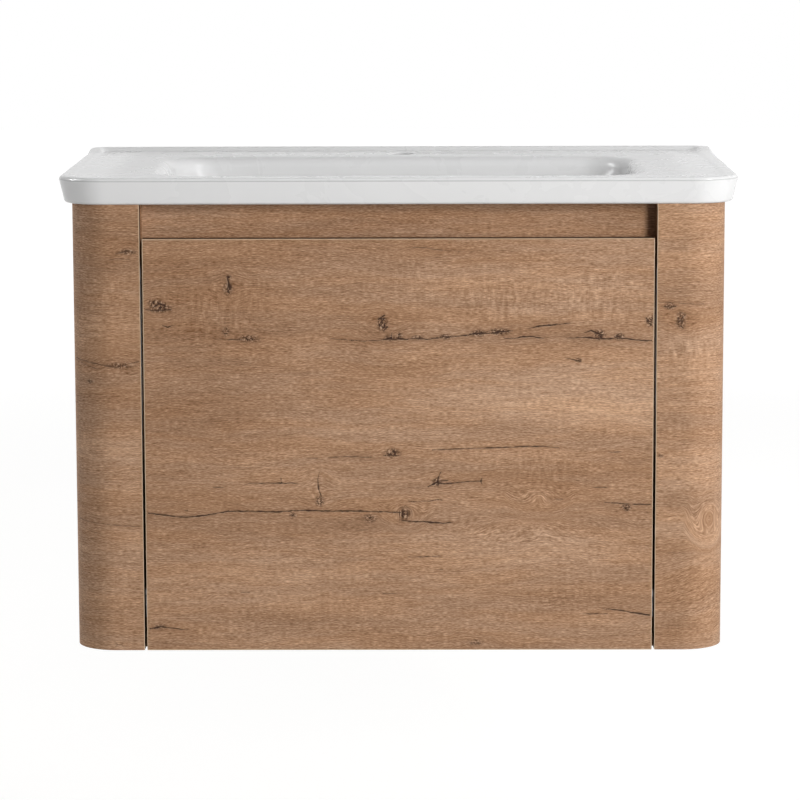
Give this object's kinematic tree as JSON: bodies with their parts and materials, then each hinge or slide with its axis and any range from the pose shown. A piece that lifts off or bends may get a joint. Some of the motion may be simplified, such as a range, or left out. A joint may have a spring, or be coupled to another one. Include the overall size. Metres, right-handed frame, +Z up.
{
  "type": "wall-hung washbasin cabinet",
  "caption": "Floating vanity: wide ceramic basin with a tap hole over an oak-look cabinet with bent front corners and a deep soft-close drawer round a trap cut-out.",
  "frame": {"origin": "on the wall plane, at mid-width, in the middle of the four wall screws", "axes": "+X to the right seen from the front, +Y into the wall, +Z up"},
  "size_m": [0.81, 0.46, 0.574],
  "materials": {
    "oak_decor": "matte",
    "oak_edge": "matte",
    "white_board": "satin",
    "basin_glaze": "gloss",
    "galvanised_steel": "satin",
    "zinc_plated_steel": "satin",
    "grey_plastic": "matte",
    "dark_plastic": "matte",
    "bumper_rubber": "satin"
  },
  "bodies": {
    "cabinet": {"curved_side_left": "oak_decor", "curved_side_right": "oak_decor", "return_edge_bands": "oak_edge", "inner_side_left": "oak_decor", "inner_side_right": "oak_decor", "base_panel": "oak_decor", "top_filler_left": "white_board", "top_filler_right": "white_board", "rear_filler_left": "white_board", "rear_filler_right": "white_board", "recess_rail": "oak_decor", "rear_top_rail": "white_board", "rear_bottom_rail": "white_board", "cam_fittings": "zinc_plated_steel", "cam_bolts": "zinc_plated_steel", "base_screws": "zinc_plated_steel", "basin": "basin_glaze", "hanger_housing_left": "grey_plastic", "hanger_housing_right": "grey_plastic", "hanger_housing_screws": "zinc_plated_steel", "runner_cabinet_left": "galvanised_steel", "runner_cabinet_right": "galvanised_steel", "runner_screws": "zinc_plated_steel", "soft_close_left": "grey_plastic", "soft_close_right": "grey_plastic", "front_bumpers": "bumper_rubber"},
    "drawer": {"drawer_front": "oak_decor", "front_edge_band": "oak_edge", "front_bracket_left": "galvanised_steel", "front_bracket_right": "galvanised_steel", "front_screws": "zinc_plated_steel", "drawer_side_left": "white_board", "drawer_side_right": "white_board", "drawer_bottom": "white_board", "drawer_back_left": "white_board", "drawer_back_right": "white_board", "well_cheek_left": "white_board", "well_cheek_right": "white_board", "well_front": "white_board", "box_screws": "zinc_plated_steel", "runner_drawer_left": "galvanised_steel", "runner_drawer_right": "galvanised_steel", "lock_clip_left": "grey_plastic", "lock_clip_right": "grey_plastic", "lever_pins": "zinc_plated_steel"},
    "middle_member_left": {"runner_middle_left": "galvanised_steel"},
    "lower_cage_left": {"cage_lower_left": "grey_plastic"},
    "upper_cage_left": {"cage_upper_left": "grey_plastic"},
    "lever_left": {"release_lever_left": "dark_plastic"},
    "hanger_left": {"hanger_hook_left": "zinc_plated_steel", "wall_plate_left": "zinc_plated_steel"},
    "adjuster_left": {"height_screw_left": "zinc_plated_steel"},
    "middle_member_right": {"runner_middle_right": "galvanised_steel"},
    "lower_cage_right": {"cage_lower_right": "grey_plastic"},
    "upper_cage_right": {"cage_upper_right": "grey_plastic"},
    "lever_right": {"release_lever_right": "dark_plastic"},
    "hanger_right": {"hanger_hook_right": "zinc_plated_steel", "wall_plate_right": "zinc_plated_steel"},
    "adjuster_right": {"height_screw_right": "zinc_plated_steel"}
  },
  "joints": [
    {"name": "drawer_slide", "type": "slide", "parent": "cabinet", "child": "drawer", "axis": [0, -1, 0], "range_m": [0, 0.35]},
    {"name": "middle_left_slide", "type": "slide", "parent": "cabinet", "child": "middle_member_left", "axis": [0, -1, 0], "range_m": [0, 0.175]},
    {"name": "lower_cage_left_slide", "type": "slide", "parent": "cabinet", "child": "lower_cage_left", "axis": [0, -1, 0], "range_m": [0, 0.0875]},
    {"name": "upper_cage_left_slide", "type": "slide", "parent": "cabinet", "child": "upper_cage_left", "axis": [0, -1, 0], "range_m": [0, 0.2625]},
    {"name": "release_left", "type": "hinge", "parent": "drawer", "child": "lever_left", "pos_m": [-0.2492, -0.386, -0.3866], "axis": [0, 0, 1], "range_deg": [0, 7], "stiffness_Nm_per_rad": 0.02},
    {"name": "height_screw_left_turn", "type": "hinge", "parent": "cabinet", "child": "adjuster_left", "pos_m": [-0.298, -0.103, 0.074], "axis": [0, 1, 0], "range_deg": [-1440, 1440]},
    {"name": "hanger_left_lift", "type": "slide", "parent": "cabinet", "child": "hanger_left", "axis": [0, 0, 1], "range_m": [-0.004, 0.004]},
    {"name": "middle_right_slide", "type": "slide", "parent": "cabinet", "child": "middle_member_right", "axis": [0, -1, 0], "range_m": [0, 0.175]},
    {"name": "lower_cage_right_slide", "type": "slide", "parent": "cabinet", "child": "lower_cage_right", "axis": [0, -1, 0], "range_m": [0, 0.0875]},
    {"name": "upper_cage_right_slide", "type": "slide", "parent": "cabinet", "child": "upper_cage_right", "axis": [0, -1, 0], "range_m": [0, 0.2625]},
    {"name": "release_right", "type": "hinge", "parent": "drawer", "child": "lever_right", "pos_m": [0.2492, -0.386, -0.3866], "axis": [0, 0, -1], "range_deg": [0, 7], "stiffness_Nm_per_rad": 0.02},
    {"name": "height_screw_right_turn", "type": "hinge", "parent": "cabinet", "child": "adjuster_right", "pos_m": [0.298, -0.103, 0.074], "axis": [0, 1, 0], "range_deg": [-1440, 1440]},
    {"name": "hanger_right_lift", "type": "slide", "parent": "cabinet", "child": "hanger_right", "axis": [0, 0, 1], "range_m": [-0.004, 0.004]}
  ],
  "couplings": [
    {"joint": "middle_left_slide", "follows": "drawer_slide", "ratio": 0.5},
    {"joint": "lower_cage_left_slide", "follows": "drawer_slide", "ratio": 0.25},
    {"joint": "upper_cage_left_slide", "follows": "drawer_slide", "ratio": 0.75},
    {"joint": "height_screw_left_turn", "follows": "hanger_left_lift", "rad_per_m": -6283.2},
    {"joint": "middle_right_slide", "follows": "drawer_slide", "ratio": 0.5},
    {"joint": "lower_cage_right_slide", "follows": "drawer_slide", "ratio": 0.25},
    {"joint": "upper_cage_right_slide", "follows": "drawer_slide", "ratio": 0.75},
    {"joint": "height_screw_right_turn", "follows": "hanger_right_lift", "rad_per_m": -6283.2}
  ]
}
